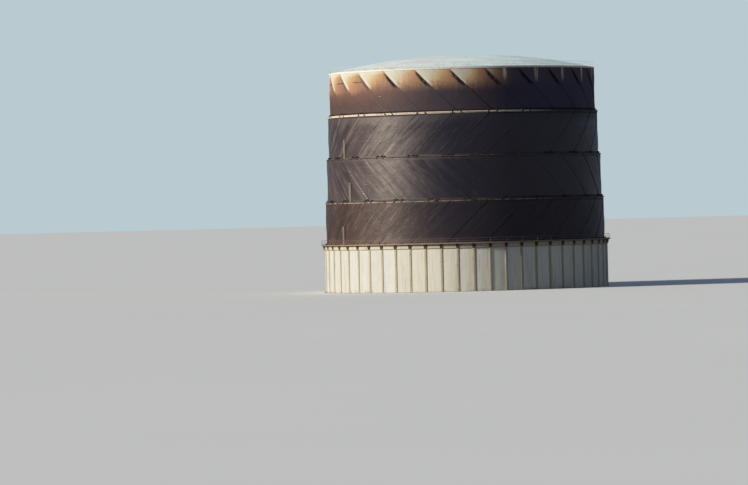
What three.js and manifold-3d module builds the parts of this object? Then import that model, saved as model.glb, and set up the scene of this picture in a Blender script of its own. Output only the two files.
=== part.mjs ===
// A spirally guided gas holder: four telescopic lifts over an above-ground water tank, as a half-size model.
// Sizes are the full-size holder's, in millimetres, and the whole group is scaled by modelScale at the end.
// +Z is up, and the origin is the middle of the tank's underside. Angles are in degrees round the holder's
// axis, counted from the front (-Y) towards the right (+X).
import * as THREE from "three";
import { mergeVertices } from "three/addons/utils/BufferGeometryUtils.js";
import Module from "manifold-3d";

const wasm = await Module();
wasm.setup();

// Driving dimensions
const modelScale = 0.5;
const seat = 0.6; // gap between two pieces that touch
const quarterJoint = 6; // gap between the quarters of a twisted wall
const quarterCount = 4;
const quarterTurn = 360 / quarterCount;

// Tank
const tankHeight = 10300; // underside to the top of the walkway
const tankWallRadius = 31000;
const tankWallThickness = 80;
const floorThickness = 60;
const floorOverhang = 50; // the floor plate beyond the stanchions
const stanchionCount = 56;
const stanchionDepth = 250;
const stanchionWidth = 260;
const kneeReach = 650; // how far each knee bracket stands out of the tank wall
const kneeHeight = 850;
const walkwayThickness = 100;
const walkwayRadius = 31760;

// Lifts, counted from the innermost at the top to the outermost at the bottom
const outerLiftRadius = 30480;
const liftStep = 480; // from one lift's radius to the next
const liftPitch = 9380; // how much of each lift shows when it is raised
const sealDepth = 900; // how far a raised lift reaches down below the ring round it
const liftWallThickness = 50;
const railCount = 24; // spiral rails on each lift, at 45 degrees
const railDepth = 100;
const railHalfWidth = 90;
const wallSteps = 3; // straight stretches in the height of a twisted wall
const ringSides = 48;
const lifts = [
  { number: 1, lean: 1, railTopAngle: -5.8, bracketOffset: 900 },
  { number: 2, lean: -1, railTopAngle: -3.6, bracketOffset: 900 },
  { number: 3, lean: 1, railTopAngle: -1, bracketOffset: 900 },
  { number: 4, lean: -1, railTopAngle: -5.4, bracketOffset: 2000 },
];

// Rings that carry the water seals: a grip hangs from a lift's top, and a cup runs round the next lift's foot
const ringThickness = 150;
const ringOverhang = 130; // outwards past the lift's own wall
const gripInset = 190; // from the inner lift's wall out to the grip's hanging plate
const gripPlate = 25;
const cupInnerLip = 270; // from the lift's wall out to the inside of the cup's lip
const cupPlate = 25;
const cupDepth = 640; // height of the cup's lip
const cupFloor = 60;
const stopCount = 8; // blocks in each cup, on which the hanging plate rests when the lift is fully up
const stopHeight = 80;
const stopWidth = 200;
const stopMargin = 20; // beyond the hanging plate on both sides
const curbHeight = 240; // the plain ring at the foot of the outermost lift
const curbReach = 110;

// Roller carriages: a notched guide block that leans along each rail, and a bracket on each side of it
const carriageHeight = 460;
const carriageHalfWidth = 190;
const carriageClearance = 35;
const carriageNotch = 165;
const carriageDepth = 340;
const carriageSink = 10; // into the plate that carries it
const bracketInset = 180; // from the lift's wall
const bracketWidth = 360;
const bracketHeight = 420;

// Crown
const crownRise = 3500;
const crownPlate = 60;
const crownSteps = 5;
const crownCurbHeight = 300;
const crownCurbOverhang = 90;
const crownCurbWidth = 420;

// Handrails and ladders
const railingHeight = 1100;
const railingBar = 60;
const railingInset = 90; // from the edge that it stands on
const railingSink = 5;
const tankPostCount = 28;
const crownPostCount = 24;
const ladderHeight = 4100;
const ladderWidth = 500;
const ladderBar = 70;
const ladderRungs = 8;
const ladders = [
  { lift: 4, angle: -58.7 },
  { lift: 3, angle: -54.5 },
  { lift: 2, angle: -59.7 },
];

const materials = {
  tankPaint: new THREE.MeshStandardMaterial({ color: 0xd9d6c4, roughness: 0.6, metalness: 0.1 }),
  ringPaint: new THREE.MeshStandardMaterial({ color: 0xb9ad92, roughness: 0.65, metalness: 0.1 }),
  liftPaint: new THREE.MeshStandardMaterial({ color: 0x4a4044, roughness: 0.5, metalness: 0.2 }),
  crownPaint: new THREE.MeshStandardMaterial({ color: 0xc3cbb8, roughness: 0.7, metalness: 0.1 }),
  railingPaint: new THREE.MeshStandardMaterial({ color: 0xe2dfcf, roughness: 0.5, metalness: 0.2 }),
  bareSteel: new THREE.MeshStandardMaterial({ color: 0x6d675f, roughness: 0.6, metalness: 0.6 }),
};

const radians = THREE.MathUtils.degToRad;
const degrees = THREE.MathUtils.radToDeg;

// A lift's own sizes, worked out from the driving dimensions
function liftRadius(number) {
  return outerLiftRadius - (lifts.length - number) * liftStep;
}

function ringTop(number) {
  return tankHeight + (lifts.length + 1 - number) * liftPitch;
}

// The top of what surrounds a lift: the next lift's ring, or the tank's walkway
function surroundTop(number) {
  return number === lifts.length ? tankHeight : ringTop(number + 1);
}

function liftFoot(number) {
  return surroundTop(number) - sealDepth;
}

// How far a rail has gone round at a height, in degrees from the front
function railAngle(lift, height) {
  const along = ringTop(lift.number) - height;
  return lift.railTopAngle + lift.lean * degrees(along / liftRadius(lift.number));
}

// A point in plan at a radius and an angle
function inPlan(radius, angle) {
  return new THREE.Vector2(radius * Math.sin(radians(angle)), -radius * Math.cos(radians(angle)));
}

// Geometry to solid, solid to mesh
function solidOf(geometry) {
  const bare = new THREE.BufferGeometry();
  bare.setAttribute("position", geometry.getAttribute("position").clone());
  if (geometry.index) bare.setIndex(geometry.index.clone());
  const merged = mergeVertices(bare, 1e-3);
  const corners = merged.index.array;
  const triVerts = [];
  for (let i = 0; i < corners.length; i += 3) {
    const [a, b, c] = [corners[i], corners[i + 1], corners[i + 2]];
    if (a !== b && b !== c && c !== a) triVerts.push(a, b, c);
  }
  const mesh = (order) =>
    new wasm.Mesh({
      numProp: 3,
      vertProperties: new Float32Array(merged.getAttribute("position").array),
      triVerts: new Uint32Array(order),
    });
  const solid = new wasm.Manifold(mesh(triVerts));
  return solid.volume() > 0 ? solid : new wasm.Manifold(mesh(triVerts.reverse()));
}

function joined(solids) {
  return solids.reduce((whole, solid) => whole.add(solid));
}

const holder = new THREE.Group();

function addNode(name, solid, material) {
  const made = solid.getMesh();
  const geometry = new THREE.BufferGeometry();
  geometry.setAttribute("position", new THREE.BufferAttribute(new Float32Array(made.vertProperties), 3));
  geometry.setIndex(new THREE.BufferAttribute(new Uint32Array(made.triVerts), 1));
  geometry.computeVertexNormals();
  const mesh = new THREE.Mesh(geometry, material);
  mesh.name = name;
  holder.add(mesh);
}

// A closed ring of flat sides, from a profile of [radius, height] points, with a corner at startAngle
function ring(profile, sides, startAngle = 0) {
  const points = [...profile, profile[0]].map(([radius, height]) => new THREE.Vector2(radius, height));
  const geometry = new THREE.LatheGeometry(points, sides, radians(startAngle));
  geometry.rotateX(Math.PI / 2);
  return solidOf(geometry);
}

// A rectangle as a profile
function rectangle(inner, outer, low, high) {
  return [
    [inner, low],
    [outer, low],
    [outer, high],
    [inner, high],
  ];
}

// A prism of an outline in plan, from one height to another
function prism(outline, low, high) {
  const geometry = new THREE.ExtrudeGeometry(new THREE.Shape(outline), {
    depth: high - low,
    bevelEnabled: false,
  });
  geometry.translate(0, 0, low);
  return geometry;
}

// A prism of an outline in plan that turns about the axis as it rises. Each skewed side is split along its
// shorter diagonal, which keeps a curved wall's faces on its cylinder.
function turningPrism(outline, low, high, angleAt) {
  const plan = THREE.ShapeUtils.isClockWise(outline) ? outline : [...outline].reverse();
  const up = new THREE.Vector3(0, 0, 1);
  const places = [];
  for (let step = 0; step <= wallSteps; step++) {
    const height = low + ((high - low) * step) / wallSteps;
    for (const point of plan) {
      places.push(new THREE.Vector3(point.x, point.y, height).applyAxisAngle(up, radians(angleAt(height))));
    }
  }
  const count = plan.length;
  const faces = [];
  for (let step = 0; step < wallSteps; step++) {
    for (let corner = 0; corner < count; corner++) {
      const a = step * count + corner;
      const b = step * count + ((corner + count - 1) % count);
      const [c, d] = [b + count, a + count];
      const shorter = places[a].distanceTo(places[c]) < places[b].distanceTo(places[d]);
      faces.push(...(shorter ? [a, b, c, a, c, d] : [a, b, d, b, c, d]));
    }
  }
  const top = wallSteps * count;
  for (const [a, b, c] of THREE.ShapeUtils.triangulateShape(plan, [])) {
    faces.push(c, b, a, a + top, b + top, c + top);
  }
  return new THREE.BufferGeometry().setFromPoints(places).setIndex(faces);
}

// A box that stands at a radius and an angle, square to the radius
function standingBox(angle, inner, outer, width, low, high) {
  const geometry = new THREE.BoxGeometry(width, outer - inner, high - low);
  geometry.translate(0, -(inner + outer) / 2, (low + high) / 2);
  geometry.rotateZ(radians(angle));
  return solidOf(geometry);
}

// One quarter of a solid, between two upright planes through the axis
function quarterOf(solid, quarter, gap) {
  const reach = walkwayRadius * 2;
  const start = quarter * quarterTurn;
  const outline = [
    new THREE.Vector2(gap / 2, -gap / 2),
    new THREE.Vector2(reach, -gap / 2),
    new THREE.Vector2(reach, -reach),
    new THREE.Vector2(gap / 2, -reach),
  ];
  const wedge = prism(outline, -seat, ringTop(1) + crownRise * 2);
  wedge.rotateZ(radians(start));
  return solid.intersect(solidOf(wedge));
}

// Tank
const stanchionPitch = 360 / stanchionCount;
const stanchionRadius = tankWallRadius + stanchionDepth;
const underWalkway = tankHeight - walkwayThickness - seat;

function makeTankFloor() {
  const radius = stanchionRadius + floorOverhang;
  const geometry = new THREE.CylinderGeometry(radius, radius, floorThickness, stanchionCount);
  geometry.rotateX(Math.PI / 2);
  geometry.rotateZ(radians(stanchionPitch / 2));
  geometry.translate(0, 0, floorThickness / 2);
  addNode("tank_floor", solidOf(geometry), materials.bareSteel);
}

// A stanchion with its knee bracket, as an outline of radius and height pushed through its width
function stanchion(angle, foot) {
  const root = tankWallRadius * Math.cos(radians(stanchionPitch / 2)) - tankWallThickness / 2;
  const outline = [
    new THREE.Vector2(root, foot),
    new THREE.Vector2(stanchionRadius, foot),
    new THREE.Vector2(stanchionRadius, underWalkway - kneeHeight),
    new THREE.Vector2(tankWallRadius + kneeReach, underWalkway),
    new THREE.Vector2(root, underWalkway),
  ];
  const geometry = new THREE.ExtrudeGeometry(new THREE.Shape(outline), {
    depth: stanchionWidth,
    bevelEnabled: false,
  });
  geometry.translate(0, 0, -stanchionWidth / 2);
  geometry.rotateX(Math.PI / 2);
  geometry.rotateZ(radians(angle - 90));
  return solidOf(geometry);
}

function makeTankWalls() {
  const foot = floorThickness + seat;
  const inner = tankWallRadius - tankWallThickness;
  const shell = ring(rectangle(inner, tankWallRadius, foot, underWalkway), stanchionCount);
  const perQuarter = stanchionCount / quarterCount;
  for (let quarter = 0; quarter < quarterCount; quarter++) {
    const pieces = [quarterOf(shell, quarter, seat)];
    for (let i = 0; i < perQuarter; i++) {
      pieces.push(stanchion((quarter * perQuarter + i + 0.5) * stanchionPitch, foot));
    }
    addNode(`tank_wall_${quarter + 1}`, joined(pieces), materials.tankPaint);
  }
}

// One rail's carriage: a guide block, notched in plan, that leans along the rail, and a bracket on each side
function carriage(lift, rail, base) {
  const radius = liftRadius(lift.number);
  const angle = railAngle(lift, base) + (rail * 360) / railCount;
  const outline = [
    new THREE.Vector2(-carriageHalfWidth, -(radius + carriageDepth)),
    new THREE.Vector2(carriageHalfWidth, -(radius + carriageDepth)),
    new THREE.Vector2(carriageHalfWidth, -(radius + carriageClearance)),
    new THREE.Vector2(0, -(radius + carriageNotch)),
    new THREE.Vector2(-carriageHalfWidth, -(radius + carriageClearance)),
  ];
  const geometry = prism(outline, base - carriageSink, base + carriageHeight);
  const places = geometry.getAttribute("position");
  for (let i = 0; i < places.count; i++) {
    places.setX(i, places.getX(i) - lift.lean * (places.getZ(i) - base));
  }
  geometry.rotateZ(radians(angle));
  const inner = radius + bracketInset;
  const aside = degrees(lift.bracketOffset / inner);
  const brackets = [angle - aside, angle + aside].map((at) =>
    standingBox(at, inner, radius + carriageDepth, bracketWidth, base - carriageSink, base + bracketHeight),
  );
  return joined([solidOf(geometry), ...brackets]);
}

function carriagesRound(lift, base) {
  return Array.from({ length: railCount }, (_, rail) => carriage(lift, rail, base));
}

function makeTankWalkway() {
  const outermost = lifts[lifts.length - 1];
  const low = tankHeight - walkwayThickness;
  const profile = rectangle(outerLiftRadius + gripInset, walkwayRadius, low, tankHeight);
  const plate = ring(profile, stanchionCount, stanchionPitch / 2);
  const blocks = carriagesRound(outermost, tankHeight);
  const firstAngle = railAngle(outermost, tankHeight);
  for (let quarter = 0; quarter < quarterCount; quarter++) {
    const carried = blocks.filter((_, rail) => {
      const angle = THREE.MathUtils.euclideanModulo(firstAngle + (rail * 360) / railCount, 360);
      return Math.floor(angle / quarterTurn) === quarter;
    });
    addNode(
      `tank_walkway_${quarter + 1}`,
      joined([quarterOf(plate, quarter, seat), ...carried]),
      materials.ringPaint,
    );
  }
}

// A railing: posts with one bar round their tops, in quarters
function makeRailing(name, edgeRadius, base, postCount) {
  const middle = edgeRadius - railingInset;
  const inner = middle - railingBar / 2;
  const outer = middle + railingBar / 2;
  const pitch = 360 / postCount;
  const top = base + railingHeight;
  const bar = ring(rectangle(inner, outer, top - railingBar, top), postCount, pitch / 2);
  const perQuarter = postCount / quarterCount;
  for (let quarter = 0; quarter < quarterCount; quarter++) {
    const pieces = [quarterOf(bar, quarter, seat)];
    for (let i = 0; i < perQuarter; i++) {
      const angle = (quarter * perQuarter + i + 0.5) * pitch;
      const postTop = top - railingSink;
      pieces.push(
        standingBox(angle, inner + railingSink, outer - railingSink, railingBar, base + seat, postTop),
      );
    }
    addNode(`${name}_${quarter + 1}`, joined(pieces), materials.railingPaint);
  }
}

// Lifts
// A quarter of a lift's wall in plan: six rails as ridges outside, and a plain face inside
function liftWallOutline(radius, startAngle) {
  const pitch = 360 / railCount;
  const rails = railCount / quarterCount;
  const edge = degrees(quarterJoint / 2 / radius);
  const ridge = degrees(railHalfWidth / radius);
  const inner = radius - liftWallThickness;
  const outside = [inPlan(radius, startAngle + edge)];
  const inside = [inPlan(inner, startAngle + edge)];
  for (let rail = 0; rail < rails; rail++) {
    const middle = startAngle + (rail + 0.5) * pitch;
    const last = rail === rails - 1;
    const next = middle + pitch / 2 - (last ? edge : 0);
    outside.push(
      inPlan(radius, middle - ridge),
      inPlan(radius + railDepth, middle),
      inPlan(radius, middle + ridge),
      inPlan(radius, next),
    );
    inside.push(inPlan(inner, middle), inPlan(inner, next));
  }
  return [...outside, ...inside.reverse()];
}

function makeLiftWalls(lift) {
  const radius = liftRadius(lift.number);
  const low = liftFoot(lift.number) + (lift.number === lifts.length ? curbHeight : cupFloor) + seat;
  const topRing = lift.number === 1 ? crownCurbHeight : ringThickness;
  const high = ringTop(lift.number) - topRing - seat;
  const halfPitch = 180 / railCount;
  for (let quarter = 0; quarter < quarterCount; quarter++) {
    const outline = liftWallOutline(radius, quarter * quarterTurn - halfPitch);
    const geometry = turningPrism(outline, low, high, (height) => railAngle(lift, height));
    addNode(`lift_${lift.number}_wall_${quarter + 1}`, solidOf(geometry), materials.liftPaint);
  }
}

// The ring on a lift's top, with the plate that hangs in the inner lift's cup, and the inner lift's carriages
function makeGrip(lift, innerLift) {
  const radius = liftRadius(lift.number);
  const plateRadius = liftRadius(innerLift.number) + gripInset;
  const top = ringTop(lift.number);
  const hangsTo = liftFoot(innerLift.number) + cupFloor + stopHeight + seat;
  const profile = [
    [plateRadius, hangsTo],
    [plateRadius + gripPlate, hangsTo],
    [plateRadius + gripPlate, top - ringThickness],
    [radius + ringOverhang, top - ringThickness],
    [radius + ringOverhang, top],
    [plateRadius, top],
  ];
  addNode(
    `lift_${lift.number}_grip`,
    joined([ring(profile, ringSides), ...carriagesRound(innerLift, top)]),
    materials.ringPaint,
  );
}

// The water cup round a lift's foot: a floor under the wall, a lip outside it, and stops between them
function makeCup(lift) {
  const radius = liftRadius(lift.number);
  const foot = liftFoot(lift.number);
  const lip = radius + cupInnerLip;
  const profile = [
    [radius - liftWallThickness * 2, foot],
    [lip + cupPlate, foot],
    [lip + cupPlate, foot + cupDepth],
    [lip, foot + cupDepth],
    [lip, foot + cupFloor],
    [radius - liftWallThickness * 2, foot + cupFloor],
  ];
  const stops = Array.from({ length: stopCount }, (_, i) => {
    const inner = radius + gripInset - stopMargin;
    const outer = radius + gripInset + gripPlate + stopMargin;
    const low = foot + cupFloor / 2;
    return standingBox((i * 360) / stopCount, inner, outer, stopWidth, low, foot + cupFloor + stopHeight);
  });
  addNode(`lift_${lift.number}_cup`, joined([ring(profile, ringSides), ...stops]), materials.bareSteel);
}

function makeFootCurb(lift) {
  const radius = liftRadius(lift.number);
  const foot = liftFoot(lift.number);
  const profile = rectangle(radius - liftWallThickness * 2, radius + curbReach, foot, foot + curbHeight);
  addNode(`lift_${lift.number}_curb`, ring(profile, ringSides), materials.bareSteel);
}

// Crown
function makeCrown() {
  const top = ringTop(1);
  const radius = liftRadius(1);
  const curbInner = radius + crownCurbOverhang - crownCurbWidth;
  const curb = rectangle(curbInner, radius + crownCurbOverhang, top - crownCurbHeight, top);
  addNode("crown_curb", ring(curb, ringSides), materials.crownPaint);

  // The dome is part of a sphere, and its rim lies on the curb
  const rim = radius - crownPlate;
  const sphere = (rim * rim + crownRise * crownRise) / (2 * crownRise);
  const low = top + seat;
  const heightAt = (away) => low + Math.sqrt(sphere * sphere - away * away) - (sphere - crownRise);
  const away = Array.from({ length: crownSteps + 1 }, (_, i) => (rim * i) / crownSteps);
  const outside = away.map((r) => [r, heightAt(r) + crownPlate]).reverse();
  const inside = away.map((r) => [r, heightAt(r)]);
  const dome = ring([...outside, ...inside], ringSides);
  for (let quarter = 0; quarter < quarterCount; quarter++) {
    addNode(`crown_${quarter + 1}`, quarterOf(dome, quarter, seat), materials.crownPaint);
  }
  return radius + crownCurbOverhang;
}

// Ladders, each standing on a ring outside the lift that rises from it
function makeLadder({ lift, angle }) {
  const base = surroundTop(lift) + seat;
  const front = liftRadius(lift) + ringOverhang + gripInset;
  const half = ladderWidth / 2;
  const slabs = [-half, half - ladderBar].map((x) => [x, x + ladderBar, 0, ladderHeight]);
  for (let rung = 0; rung < ladderRungs; rung++) {
    const height = ((rung + 0.5) * ladderHeight) / ladderRungs;
    slabs.push([-half + ladderBar / 2, half - ladderBar / 2, height, height + ladderBar]);
  }
  const pieces = slabs.map(([left, right, low, high], index) => {
    const inset = index < 2 ? 0 : railingSink;
    const geometry = new THREE.BoxGeometry(right - left, ladderBar - inset * 2, high - low);
    geometry.translate((left + right) / 2, -(front + ladderBar / 2), base + (low + high) / 2);
    geometry.rotateZ(radians(angle));
    return solidOf(geometry);
  });
  addNode(`lift_${lift}_ladder`, joined(pieces), materials.railingPaint);
}

makeTankFloor();
makeTankWalls();
makeTankWalkway();
makeRailing("tank_railing", walkwayRadius, tankHeight, tankPostCount);
for (const lift of lifts) {
  makeLiftWalls(lift);
  if (lift.number > 1) makeGrip(lift, lifts[lift.number - 2]);
  if (lift.number < lifts.length) makeCup(lift);
}
makeFootCurb(lifts[lifts.length - 1]);
const crownEdge = makeCrown();
makeRailing("crown_railing", crownEdge, ringTop(1), crownPostCount);
ladders.forEach(makeLadder);

holder.scale.setScalar(modelScale);

export default holder;
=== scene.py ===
# Looks of a spirally guided gas holder, at half size: a pale water tank, four dark lifts and a shallow crown.
# Metres, +Z up, the origin in the middle of the tank's underside. Angles are in degrees round the axis,
# counted from the front (-Y) towards the right (+X).
import math
from types import SimpleNamespace
import bpy
import bmesh
from mathutils import Matrix, Vector


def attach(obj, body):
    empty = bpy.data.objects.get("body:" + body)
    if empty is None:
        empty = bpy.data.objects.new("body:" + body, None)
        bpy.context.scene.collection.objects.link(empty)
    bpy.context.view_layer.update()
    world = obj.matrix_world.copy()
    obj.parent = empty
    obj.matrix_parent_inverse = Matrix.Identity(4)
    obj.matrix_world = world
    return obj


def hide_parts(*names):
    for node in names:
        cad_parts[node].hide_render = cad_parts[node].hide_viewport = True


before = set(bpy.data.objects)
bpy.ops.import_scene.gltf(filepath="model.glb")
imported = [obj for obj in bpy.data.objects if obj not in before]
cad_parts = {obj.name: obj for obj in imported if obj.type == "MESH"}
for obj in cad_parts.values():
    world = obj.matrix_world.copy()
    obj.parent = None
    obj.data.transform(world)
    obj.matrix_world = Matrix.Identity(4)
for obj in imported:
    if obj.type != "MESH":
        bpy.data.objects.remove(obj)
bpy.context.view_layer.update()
print("frame loaded")

# Sizes that several pieces share
holder = {
    "walkwayTop": 5.15,
    "tankWall": 15.50,  # outside of the tank's plates
    "tankWallInside": 15.46,
    "walkwayEdge": 15.88,
    "curbEdge": 14.565,  # outside of the crown's curb
    "tankFoot": 0.0303,  # top of the floor plate
    "strakeFoot": 4.66,  # where the tank's top strake and the knees start
    "firstCourse": 1.03,  # the tank's lowest seam
    "coursePitch": 1.0,
    "underWalkway": 5.0997,
    "stanchionCount": 56,
    "tankSteps": 448,  # faces round the tank, eight to a bay
    "railCount": 24,  # spiral rails on each lift, and carriages round it
    "liftPlate": 0.025,
    "strakePitch": 0.94,  # of a lift's plates
    "firstSeam": -0.04,  # where a lift's seams start, from the top of what stands round it
    "footCurb": 0.12,  # height of the curb that the lowest lift stands on
    "cupFloor": 0.03,  # thickness of the cup's floor that the others stand on
    "crownCurb": 0.15,  # depth of the crown's curb
    "gripInset": 0.095,  # from a lift's wall out to the ring round it
    "ringDepth": 0.075,
    "ringOverhang": 0.065,
    "sunSide": -72,  # the side the sun lamp shines from: colours change with the angle to it, partly as painted light and shade, partly as weathering that lies on that side
}
# From the top down. A rail leans to the right as it falls where lean is 1, railAngle is where one starts,
# and brackets says how far to each side of a rail its carriage's end brackets stand
lifts = {
    1: {"radius": 14.52, "top": 23.91, "foot": 18.77, "lean": 1, "railAngle": -5.8, "brackets": 0.45},
    2: {"radius": 14.76, "top": 19.22, "foot": 14.08, "lean": -1, "railAngle": -3.6, "brackets": 0.45},
    3: {"radius": 15.00, "top": 14.53, "foot": 9.39, "lean": 1, "railAngle": -1.0, "brackets": 0.45},
    4: {"radius": 15.24, "top": 9.84, "foot": 4.70, "lean": -1, "railAngle": -5.4, "brackets": 1.0},
}
fullTurn = 2 * math.pi


def quartersOf(node):
    return [f"{node}_{n}" for n in (1, 2, 3, 4)]


def surroundTop(number):
    return holder["walkwayTop"] if number == 4 else lifts[number + 1]["top"]


def wallSpan(number, gap):
    # a lift's wall from foot to head, this far clear of what it stands on and of what lies on it
    low = lifts[number]["foot"] + holder["footCurb" if number == 4 else "cupFloor"]
    high = lifts[number]["top"] - holder["crownCurb" if number == 1 else "ringDepth"]
    return low + gap, high - gap


def railAngleAt(number, height):
    lift = lifts[number]
    return lift["railAngle"] + lift["lean"] * math.degrees((lift["top"] - height) / lift["radius"])


def mirrored(half):
    # a whole outline from its right half, which is given from the bottom up or from the back out
    return [*half, *[(-x, other) for x, other in reversed(half)]]


def clearPick():
    if bpy.context.object and bpy.context.object.mode != "OBJECT":
        bpy.ops.object.mode_set(mode="OBJECT")
    bpy.ops.object.select_all(action="DESELECT")


def pickOnly(*pieces):
    clearPick()
    for piece in pieces:
        piece.select_set(True)
    bpy.context.view_layer.objects.active = pieces[0]


def settle():
    # the picked objects end at the origin, with their place in their meshes
    bpy.ops.object.transform_apply(location=True, rotation=True, scale=True)


def pickCorners(piece, test):
    shape = bmesh.from_edit_mesh(piece.data)
    for corner in shape.verts:
        corner.select_set(bool(test(corner.co)))
    shape.select_flush_mode()
    bmesh.update_edit_mesh(piece.data)


def pickFaces(piece, test):
    bpy.ops.mesh.select_mode(type="FACE")
    bpy.ops.mesh.select_all(action="DESELECT")
    shape = bmesh.from_edit_mesh(piece.data)
    for face in shape.faces:
        face.select_set(bool(test(face.calc_center_median(), face.normal)))
    bmesh.update_edit_mesh(piece.data)


def push(x, y, z):
    # the picked faces are extruded this far
    bpy.ops.mesh.extrude_region_move(TRANSFORM_OT_translate={"value": (x, y, z)})


def rod(sides, radius, length, place, turn=(0, 0, 0)):
    clearPick()
    bpy.ops.mesh.primitive_cylinder_add(
        vertices=sides, radius=radius, depth=length, location=place, rotation=turn)
    settle()
    return bpy.context.object


def drawOutline(name, corners, filled=True):
    # a line drawn by extruding one point from corner to corner, closed, and filled if asked
    clearPick()
    bpy.ops.mesh.primitive_plane_add(size=0.01, location=corners[0])
    piece = bpy.context.object
    piece.name = name
    settle()
    bpy.ops.object.mode_set(mode="EDIT")
    bpy.ops.mesh.select_mode(type="VERT")
    bpy.ops.mesh.select_all(action="SELECT")
    bpy.ops.mesh.merge(type="CENTER")
    for here, there in zip(corners, corners[1:]):
        bpy.ops.mesh.extrude_vertices_move(TRANSFORM_OT_translate={"value": Vector(there) - Vector(here)})
    ends = [Vector(corners[0]), Vector(corners[-1])]
    pickCorners(piece, lambda co: any((co - end).length < 1e-5 for end in ends))
    bpy.ops.mesh.edge_face_add()
    bpy.ops.mesh.select_all(action="SELECT")
    if filled:
        bpy.ops.mesh.edge_face_add()
    return piece


def closeUp(piece, smoothAngle=35):
    # doubles merged, faces turned outwards, soft curves shaded smooth
    bpy.ops.mesh.select_all(action="SELECT")
    bpy.ops.mesh.remove_doubles(threshold=0.00002)
    bpy.ops.mesh.normals_make_consistent(inside=False)
    bpy.ops.object.mode_set(mode="OBJECT")
    pickOnly(piece)
    bpy.ops.object.shade_smooth_by_angle(angle=math.radians(smoothAngle))
    return piece


def turnedRing(name, section, steps=384):
    # a section of radius and height, spun once round the holder's axis
    piece = drawOutline(name, [(radius, 0, height) for radius, height in section], filled=False)
    bpy.ops.mesh.spin(steps=steps, angle=fullTurn, center=(0, 0, 0), axis=(0, 0, 1))
    return closeUp(piece)


def raisedPlan(name, plan, heights):
    # an outline in plan, extruded up from height to height
    piece = drawOutline(name, [(x, y, heights[0]) for x, y in plan])
    for low, high in zip(heights, heights[1:]):
        push(0, 0, high - low)
    return closeUp(piece)


def frontPlate(name, outline, near, far):
    # a plate that faces the front, from an outline of x and z, between two radii
    piece = drawOutline(name, [(x, -near, z) for x, z in outline])
    push(0, near - far, 0)
    return closeUp(piece)


def block(name, low, high, bevel=0.0):
    middle = (Vector(low) + Vector(high)) / 2
    clearPick()
    bpy.ops.mesh.primitive_cube_add(size=1, location=middle)
    piece = bpy.context.object
    piece.name = name
    piece.scale = Vector(high) - Vector(low)
    settle()
    if bevel:
        softenEdges(piece, bevel)
    return piece


def softenEdges(piece, width, rounds=1, limit=40):
    pickOnly(piece)
    edge = piece.modifiers.new("softEdges", "BEVEL")
    edge.width = width
    edge.segments = rounds
    edge.limit_method = "ANGLE"
    edge.angle_limit = math.radians(limit)
    bpy.ops.object.modifier_apply(modifier=edge.name)


def joinAs(name, pieces):
    pickOnly(*pieces)
    if len(pieces) > 1:
        bpy.ops.object.join()
    whole = bpy.context.object
    whole.name = name
    return whole


def copyRound(name, piece, angles):
    # copies of a piece modelled at the front, each with its own mesh, joined into one ring
    copies = []
    for angle in angles:
        one = piece.copy()
        one.data = piece.data.copy()
        one.rotation_euler.z = math.radians(angle)
        bpy.context.collection.objects.link(one)
        copies.append(one)
    bpy.data.objects.remove(piece)
    pickOnly(*copies)
    settle()
    return joinAs(name, copies)


def finishPiece(piece, body, slotName, finish, *nodes):
    piece.data.materials.clear()
    piece.data.materials.append(finish)
    piece.data.name = piece.name
    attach(piece, body)
    if nodes:
        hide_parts(*nodes)
    return piece


class Signal:
    # what a node of a material gives out: sums and products of signals are math nodes too
    def __init__(self, socket):
        self.socket = socket

    def __add__(self, other):
        return calc("ADD", self, other)

    def __sub__(self, other):
        return calc("SUBTRACT", self, other)

    def __rsub__(self, other):
        return calc("SUBTRACT", other, self)

    def __mul__(self, other):
        return calc("MULTIPLY", self, other)

    def __truediv__(self, other):
        return calc("DIVIDE", self, other)


spot = SimpleNamespace()  # the material that is being made, and signals for where a point of the surface is


def newFinish(name, **values):
    # starts a material, with signals for place, height, distance from the axis and angle from the front
    spot.finish = bpy.data.materials.new(name)
    spot.finish.use_nodes = True
    spot.tree = spot.finish.node_tree
    spot.shader = spot.tree.nodes["Principled BSDF"]
    for socket, value in values.items():
        spot.shader.inputs[socket.replace("_", " ")].default_value = value
    spot.place = putNode("ShaderNodeTexCoord", output="Object")
    x, y, spot.height = map(Signal, putNode("ShaderNodeSeparateXYZ", {0: spot.place}).socket.node.outputs)
    spot.away = calc("SQRT", x * x + y * y)
    spot.angle = calc("ARCTAN2", x, y * -1)


def painted(colour, roughness, *layers):
    # ends a material; layers are height signals with their depth in metres, each a bump on the one before
    normal = None
    for height, depth in layers:
        inputs = {"Height": height, "Distance": depth, "Strength": 1.0}
        if normal:
            inputs["Normal"] = normal
        normal = putNode("ShaderNodeBump", inputs)
    for socket, signal in {"Base Color": colour, "Roughness": roughness, "Normal": normal}.items():
        spot.tree.links.new(signal.socket, spot.shader.inputs[socket])
    return spot.finish


def putNode(kind, inputs=None, output=0, **settings):
    node = spot.tree.nodes.new(kind)
    for key, value in settings.items():
        setattr(node, key, value)
    for key, value in (inputs or {}).items():
        if isinstance(value, Signal):
            spot.tree.links.new(value.socket, node.inputs[key])
        else:
            node.inputs[key].default_value = value
    return Signal(node.outputs[output])


def calc(operation, first, second=0.0):
    return putNode("ShaderNodeMath", {0: first, 1: second}, operation=operation)


def fade(value, low, high, start=0.0, end=1.0):
    # from start to end, softly, as the value goes from low to high
    inputs = {"Value": value, "From Min": low, "From Max": high, "To Min": start, "To Max": end}
    return putNode("ShaderNodeMapRange", inputs, interpolation_type="SMOOTHSTEP")


def mixed(share, under, over, how="MIX"):
    colours = [(*colour, 1) if isinstance(colour, tuple) else colour for colour in (under, over)]
    inputs = {0: share, 6: colours[0], 7: colours[1]}
    return putNode("ShaderNodeMix", inputs, 2, data_type="RGBA", blend_type=how)


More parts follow.
